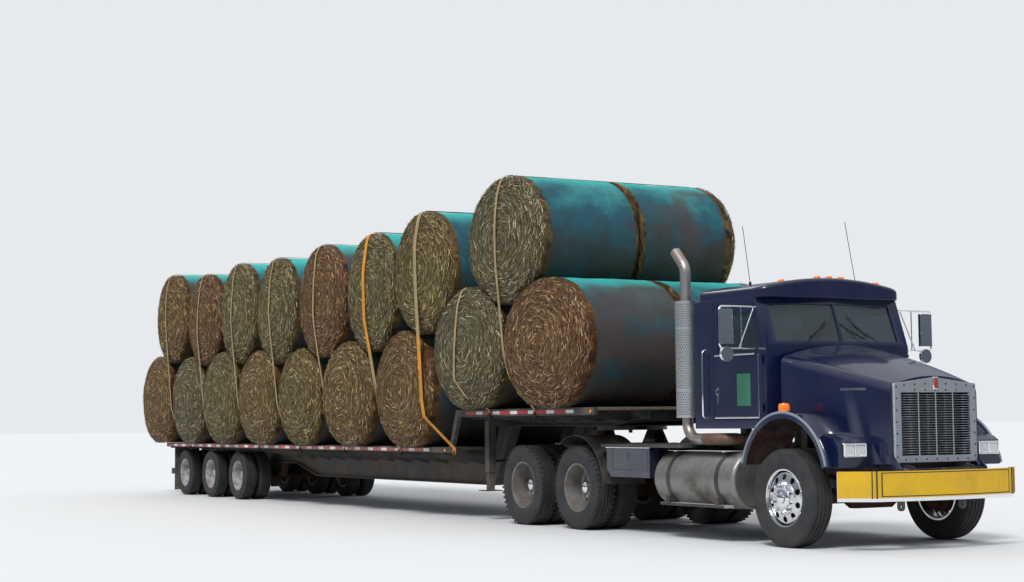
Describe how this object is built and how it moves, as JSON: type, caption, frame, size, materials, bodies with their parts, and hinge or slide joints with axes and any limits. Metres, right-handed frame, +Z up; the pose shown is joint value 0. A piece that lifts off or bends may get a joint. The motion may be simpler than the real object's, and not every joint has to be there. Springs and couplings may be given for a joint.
{
  "type": "articulated hay lorry",
  "caption": "Day-cab tractor hinged to a step-deck trailer stacked with round hay bales under straps; wheels, steering, hood, doors and the coupling move.",
  "frame": {"origin": "on the ground, under the middle of the whole length and width", "axes": "+X forward to the tractor's nose, +Y to the lorry's left, +Z up"},
  "size_m": [21.04, 3.1426, 4.5033],
  "materials": {
    "aluminium": "brushed",
    "amber": "gloss",
    "boards": "worn",
    "chassis": "satin",
    "chrome": "polished",
    "flap_rubber": "matt",
    "glass": "clear",
    "hay": "rough",
    "iron": "rough",
    "paint": "gloss",
    "steel": "satin",
    "trailer_paint": "satin",
    "trim": "matt",
    "tyre": "matt",
    "vinyl": "satin",
    "webbing": "woven"
  },
  "bodies": {
    "tractor": {"banner": "vinyl", "bumper": "chrome", "cab_glass": "glass", "cab_mounts": "chassis", "cab_roof": "paint", "cab_shell": "paint", "catwalk": "aluminium", "dashboard": "trim", "drive_axles": "iron", "drive_shafts": "chassis", "drive_suspension": "iron", "engine": "iron", "exhaust_shield": "chrome", "exhaust_stack": "chrome", "fender_tails": "paint", "fifth_wheel": "iron", "frame_rails": "chassis", "fuel_tanks": "aluminium", "quarter_fenders": "flap_rubber", "roof_lamps": "amber", "seats": "trim", "side_boxes": "paint", "steer_axle": "iron", "steer_springs": "iron", "tank_straps": "steel"},
    "trailer": {"trailer_frame": "trailer_paint", "side_rails": "trailer_paint", "lower_deck": "boards", "upper_deck": "boards", "landing_gear": "trailer_paint", "trailer_axles": "iron", "rear_guard": "trailer_paint", "hay_bales_lower": "hay", "hay_bales_upper": "hay", "load_straps": "webbing", "trailer_flaps": "flap_rubber"},
    "hood": {"hood_shell": "paint", "grille": "aluminium", "headlamps": "chrome"},
    "door_left": {"door_left": "paint", "door_glass_left": "glass", "mirrors_left": "chrome"},
    "door_right": {"door_right": "paint", "door_glass_right": "glass", "mirrors_right": "chrome"},
    "knuckle_left": {"knuckle_left": "iron"},
    "knuckle_right": {"knuckle_right": "iron"},
    "steer_wheel_left": {"steer_wheel_left": "tyre"},
    "steer_wheel_right": {"steer_wheel_right": "tyre"},
    "drive_wheels_1_left": {"drive_wheels_1_left": "tyre"},
    "drive_wheels_1_right": {"drive_wheels_1_right": "tyre"},
    "drive_wheels_2_left": {"drive_wheels_2_left": "tyre"},
    "drive_wheels_2_right": {"drive_wheels_2_right": "tyre"},
    "trailer_wheels_1_left": {"trailer_wheels_1_left": "tyre"},
    "trailer_wheels_1_right": {"trailer_wheels_1_right": "tyre"},
    "trailer_wheels_2_left": {"trailer_wheels_2_left": "tyre"},
    "trailer_wheels_2_right": {"trailer_wheels_2_right": "tyre"},
    "trailer_wheels_3_left": {"trailer_wheels_3_left": "tyre"},
    "trailer_wheels_3_right": {"trailer_wheels_3_right": "tyre"}
  },
  "joints": [
    {"name": "trailer_swing", "type": "hinge", "parent": "tractor", "child": "trailer", "pos_m": [4.67, 0, 1.25], "axis": [0, 0, 1], "range_deg": [-75, 75]},
    {"name": "steering_left", "type": "hinge", "parent": "tractor", "child": "knuckle_left", "pos_m": [9.27, 0.85, 0.51], "axis": [0, 0, 1], "range_deg": [-35, 35]},
    {"name": "steer_wheel_left_spin", "type": "hinge", "parent": "knuckle_left", "child": "steer_wheel_left", "pos_m": [9.27, 1.19, 0.51], "axis": [0, 1, 0], "continuous": true},
    {"name": "steering_right", "type": "hinge", "parent": "tractor", "child": "knuckle_right", "pos_m": [9.27, -0.85, 0.51], "axis": [0, 0, 1], "range_deg": [-35, 35]},
    {"name": "steer_wheel_right_spin", "type": "hinge", "parent": "knuckle_right", "child": "steer_wheel_right", "pos_m": [9.27, -1.19, 0.51], "axis": [0, 1, 0], "continuous": true},
    {"name": "drive_wheels_1_left_spin", "type": "hinge", "parent": "tractor", "child": "drive_wheels_1_left", "pos_m": [5.265, 1.22, 0.51], "axis": [0, 1, 0], "continuous": true},
    {"name": "drive_wheels_1_right_spin", "type": "hinge", "parent": "tractor", "child": "drive_wheels_1_right", "pos_m": [5.265, -1.22, 0.51], "axis": [0, 1, 0], "continuous": true},
    {"name": "drive_wheels_2_left_spin", "type": "hinge", "parent": "tractor", "child": "drive_wheels_2_left", "pos_m": [3.945, 1.22, 0.51], "axis": [0, 1, 0], "continuous": true},
    {"name": "drive_wheels_2_right_spin", "type": "hinge", "parent": "tractor", "child": "drive_wheels_2_right", "pos_m": [3.945, -1.22, 0.51], "axis": [0, 1, 0], "continuous": true},
    {"name": "trailer_wheels_1_left_spin", "type": "hinge", "parent": "trailer", "child": "trailer_wheels_1_left", "pos_m": [-6.04, 1.27, 0.422], "axis": [0, 1, 0], "continuous": true},
    {"name": "trailer_wheels_1_right_spin", "type": "hinge", "parent": "trailer", "child": "trailer_wheels_1_right", "pos_m": [-6.04, -1.27, 0.422], "axis": [0, 1, 0], "continuous": true},
    {"name": "trailer_wheels_2_left_spin", "type": "hinge", "parent": "trailer", "child": "trailer_wheels_2_left", "pos_m": [-7.41, 1.27, 0.422], "axis": [0, 1, 0], "continuous": true},
    {"name": "trailer_wheels_2_right_spin", "type": "hinge", "parent": "trailer", "child": "trailer_wheels_2_right", "pos_m": [-7.41, -1.27, 0.422], "axis": [0, 1, 0], "continuous": true},
    {"name": "trailer_wheels_3_left_spin", "type": "hinge", "parent": "trailer", "child": "trailer_wheels_3_left", "pos_m": [-8.78, 1.27, 0.422], "axis": [0, 1, 0], "continuous": true},
    {"name": "trailer_wheels_3_right_spin", "type": "hinge", "parent": "trailer", "child": "trailer_wheels_3_right", "pos_m": [-8.78, -1.27, 0.422], "axis": [0, 1, 0], "continuous": true},
    {"name": "hood_tilt", "type": "hinge", "parent": "tractor", "child": "hood", "pos_m": [10.37, 0, 0.8], "axis": [0, 1, 0], "range_deg": [0, 75]},
    {"name": "door_left_swing", "type": "hinge", "parent": "tractor", "child": "door_left", "pos_m": [8.75, 1.015, 1.32], "axis": [0, 0, -1], "range_deg": [0, 65]},
    {"name": "door_right_swing", "type": "hinge", "parent": "tractor", "child": "door_right", "pos_m": [8.75, -1.015, 1.32], "axis": [0, 0, 1], "range_deg": [0, 65]}
  ],
  "couplings": [
    {"joint": "steering_right", "follows": "steering_left", "ratio": 1}
  ]
}
